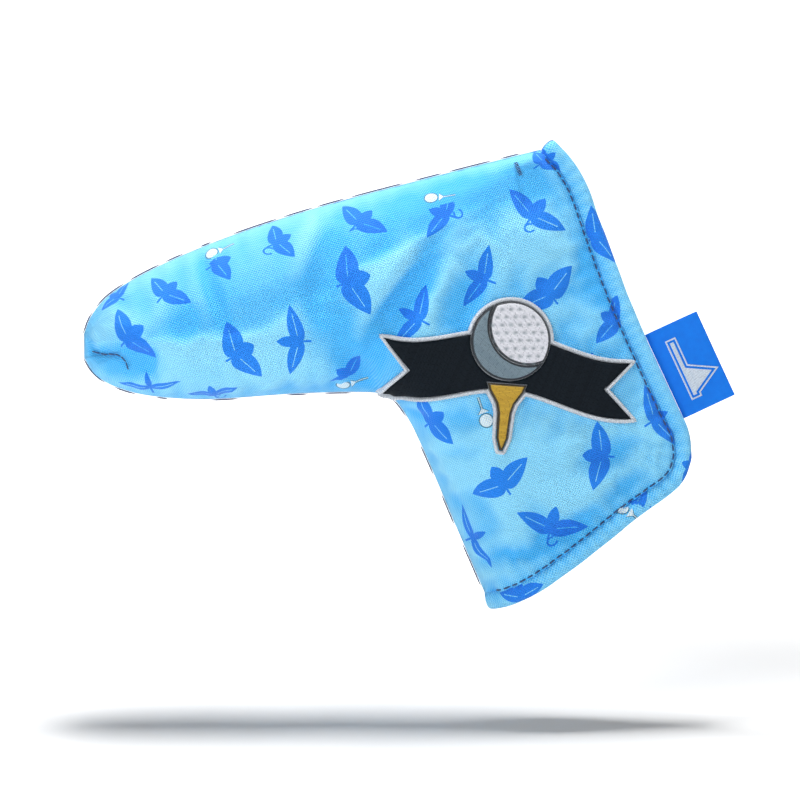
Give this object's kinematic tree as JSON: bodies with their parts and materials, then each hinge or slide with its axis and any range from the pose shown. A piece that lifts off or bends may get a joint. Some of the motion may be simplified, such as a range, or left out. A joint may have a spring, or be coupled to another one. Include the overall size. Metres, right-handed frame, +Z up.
{
  "type": "putter head cover",
  "caption": "L-shaped padded cloth sleeve for a blade putter head, with a magnetic side closure between two hinged leaves, an open mouth for the shaft, an embroidered patch and a woven side label.",
  "frame": {"origin": "middle of the mouth, where the shaft leaves the neck, on the plane between the front and back walls", "axes": "+X from the toe to the heel, +Z up with the putter's sole level, -Y towards the front, which carries the patch"},
  "size_m": [0.2191, 0.0401, 0.1588],
  "materials": {
    "sky_cloth": "printed canvas weave",
    "white_foam": "soft sheet foam",
    "grey_plush": "short plush pile",
    "navy_thread": "twisted thread",
    "blue_woven": "close satin weave",
    "white_thread": "satin embroidery",
    "black_thread": "filled embroidery",
    "grey_thread": "satin embroidery",
    "gold_thread": "satin embroidery",
    "nickel": "nickel plated"
  },
  "bodies": {
    "sleeve": {"shell_front_sleeve": "sky_cloth", "shell_back_sleeve": "sky_cloth", "padding_front_sleeve": "white_foam", "padding_back_sleeve": "white_foam", "lining_front_sleeve": "grey_plush", "lining_back_sleeve": "grey_plush", "hem_front_mouth": "sky_cloth", "hem_back_mouth": "sky_cloth", "topstitch_front_mouth": "navy_thread", "topstitch_back_mouth": "navy_thread", "seam_thread_top": "navy_thread", "seam_thread_bottom": "navy_thread", "toe_tuck_thread": "navy_thread", "corner_bar_tack": "navy_thread", "patch_backing_sleeve": "white_thread", "patch_border_sleeve": "white_thread", "patch_ribbon_sleeve": "black_thread", "patch_ball": "white_thread", "patch_ball_shade": "grey_thread", "patch_tee": "gold_thread"},
    "front_leaf": {"shell_front_leaf": "sky_cloth", "padding_front_leaf": "white_foam", "lining_front_leaf": "grey_plush", "hem_front_leaf": "sky_cloth", "topstitch_front_leaf": "navy_thread", "magnet_front_upper": "nickel", "magnet_front_lower": "nickel", "label_tail": "blue_woven", "patch_backing_leaf": "white_thread", "patch_border_leaf": "white_thread", "patch_ribbon_leaf": "black_thread"},
    "back_leaf": {"shell_back_leaf": "sky_cloth", "padding_back_leaf": "white_foam", "lining_back_leaf": "grey_plush", "hem_back_leaf": "sky_cloth", "topstitch_back_leaf": "navy_thread", "magnet_back_upper": "nickel", "magnet_back_lower": "nickel"},
    "label": {"label_flap": "blue_woven", "label_flag": "white_thread"}
  },
  "joints": [
    {"name": "front_leaf_hinge", "type": "hinge", "parent": "sleeve", "child": "front_leaf", "pos_m": [-0.0205, -0.01005, 0.133], "axis": [0.1211, -0.0648, -0.9905], "range_deg": [0, 70], "stiffness_Nm_per_rad": 0.04},
    {"name": "back_leaf_hinge", "type": "hinge", "parent": "sleeve", "child": "back_leaf", "pos_m": [-0.0035, 0.01914, -0.006], "axis": [-0.1211, -0.0648, 0.9905], "range_deg": [0, 70], "stiffness_Nm_per_rad": 0.04},
    {"name": "label_hinge", "type": "hinge", "parent": "front_leaf", "child": "label", "pos_m": [0.02516, -0.0011, 0.05675], "axis": [0.426, 0, -0.9047], "range_deg": [-60, 60], "stiffness_Nm_per_rad": 0.002}
  ]
}
